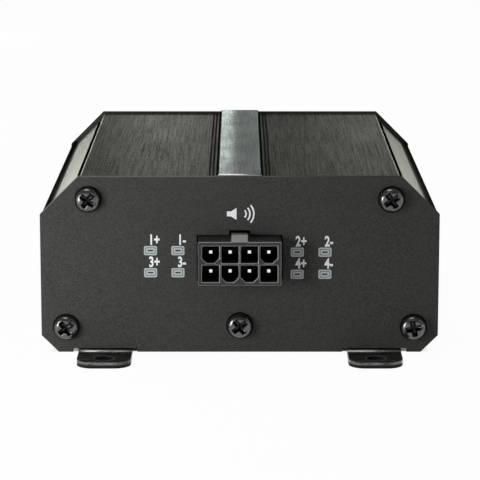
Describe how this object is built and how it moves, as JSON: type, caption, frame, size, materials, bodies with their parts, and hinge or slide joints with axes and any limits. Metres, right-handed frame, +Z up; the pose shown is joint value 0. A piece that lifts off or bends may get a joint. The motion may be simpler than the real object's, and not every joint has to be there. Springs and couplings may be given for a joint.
{
  "type": "car amplifier",
  "caption": "Compact car amplifier: extruded heatsink shell with bright shoulder panels, screwed end plates, keyed headers, gain knobs and a base with mounting tabs.",
  "frame": {"origin": "middle of the footprint, on the underside of the mounting tabs", "axes": "+Z up, X across the width, Y along the extrusion; the speaker-output end faces -Y and the input end, with the controls, +Y"},
  "size_m": [0.087, 0.1188, 0.0411],
  "materials": {
    "black_anodised": "black anodised, brushed along the length, bright shoulder panels",
    "satin_strip": "satin brushed",
    "textured_black": "fine-textured powder coat",
    "gloss_black_sheet": "gloss black",
    "black_screw": "glossy black plated",
    "zinc_screw": "zinc plated",
    "header_nylon": "semi-matt moulded",
    "tinned_pin": "tin plated",
    "knob_plastic": "matt moulded",
    "shaft_steel": "bare",
    "control_case": "matt moulded",
    "switch_case": "tin plated",
    "slider_plastic": "matt moulded",
    "lamp_lens": "diffused lens",
    "holder_plastic": "matt moulded",
    "circuit_board": "solder-masked glass-fibre laminate",
    "chip_resin": "moulded resin",
    "pad_rubber": "soft silicone",
    "ferrite": "sintered",
    "film_case": "moulded",
    "can_aluminium": "sleeved can",
    "copper_wire": "enamelled copper"
  },
  "bodies": {
    "chassis": {"heatsink_shell": "black_anodised", "trim_strip": "satin_strip", "output_end_plate": "textured_black", "input_end_plate": "textured_black", "bottom_plate": "gloss_black_sheet", "output_plate_screws": "black_screw", "input_plate_screws": "black_screw", "board_screws": "zinc_screw", "base_screws": "black_screw", "output_header": "header_nylon", "input_header": "header_nylon", "power_header": "header_nylon", "output_pins": "tinned_pin", "input_pins": "tinned_pin", "power_pins": "tinned_pin", "gain_pots": "control_case", "crossover_switch": "switch_case", "status_led": "lamp_lens", "led_holder": "holder_plastic", "led_leads": "tinned_pin", "main_board": "circuit_board", "amplifier_chips": "chip_resin", "thermal_pads": "pad_rubber", "output_inductors": "ferrite", "film_capacitors": "film_case", "supply_capacitors": "can_aluminium", "choke_core": "ferrite", "choke_winding": "copper_wire", "signal_processor": "chip_resin"},
    "front_gain": {"front_gain_knob": "knob_plastic", "front_gain_shaft": "shaft_steel"},
    "rear_gain": {"rear_gain_knob": "knob_plastic", "rear_gain_shaft": "shaft_steel"},
    "crossover": {"crossover_slider": "slider_plastic"}
  },
  "joints": [
    {"name": "front_gain_turn", "type": "hinge", "parent": "chassis", "child": "front_gain", "pos_m": [0.02029, 0.05, 0.02415], "axis": [0, 1, 0], "range_deg": [-140, 140]},
    {"name": "rear_gain_turn", "type": "hinge", "parent": "chassis", "child": "rear_gain", "pos_m": [0.00916, 0.05, 0.02415], "axis": [0, 1, 0], "range_deg": [-140, 140]},
    {"name": "crossover_slide", "type": "slide", "parent": "chassis", "child": "crossover", "axis": [1, 0, 0], "range_m": [-0.002, 0.002]}
  ]
}
